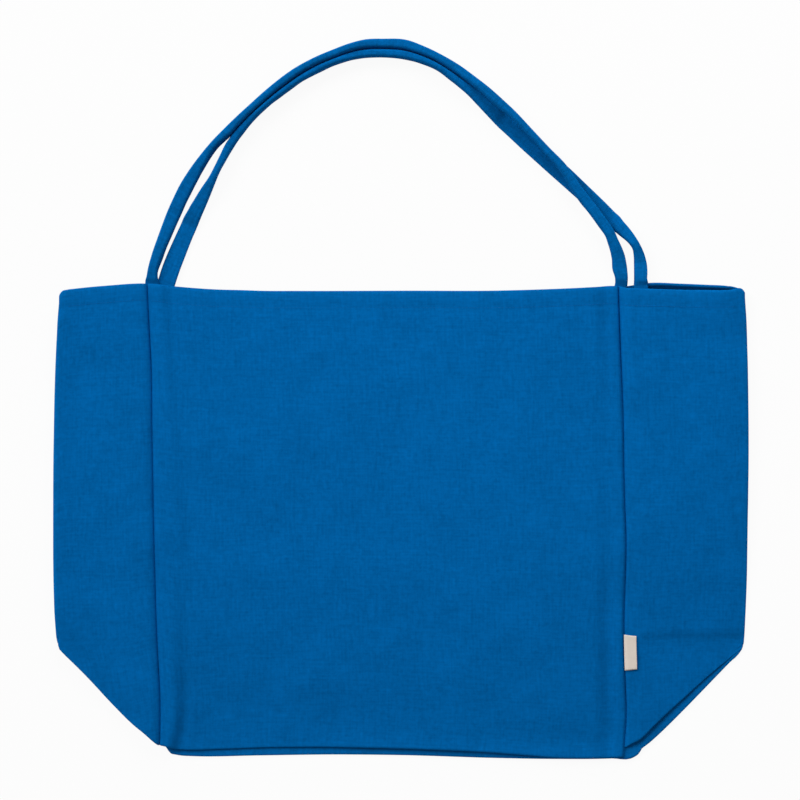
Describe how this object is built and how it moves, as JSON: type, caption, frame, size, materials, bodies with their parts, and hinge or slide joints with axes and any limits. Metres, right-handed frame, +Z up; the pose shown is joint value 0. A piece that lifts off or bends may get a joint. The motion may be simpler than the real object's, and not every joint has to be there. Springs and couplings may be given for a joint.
{
  "type": "cotton tote bag",
  "caption": "Box tote of plain blue cotton canvas laid flat, side gussets folded out, base folded in, two narrow cloth handles arched above the mouth.",
  "frame": {"origin": "middle of the laid bag, handles included, on the surface that it lies on", "axes": "+X to the bag's right as the front panel is seen, +Y from the base towards the handles, +Z up, out of the front panel"},
  "size_m": [0.599, 0.6174, 0.0179],
  "materials": {
    "canvas": "matt plain-weave cotton canvas",
    "strap": "matt cotton canvas sewn into a flat tube",
    "label": "smooth woven tape"
  },
  "bodies": {
    "root": {"front_panel": "canvas", "back_panel": "canvas", "left_gusset": "canvas", "right_gusset": "canvas", "base_panel": "canvas", "front_handle": "strap", "back_handle": "strap", "side_label": "label"}
  },
  "joints": []
}
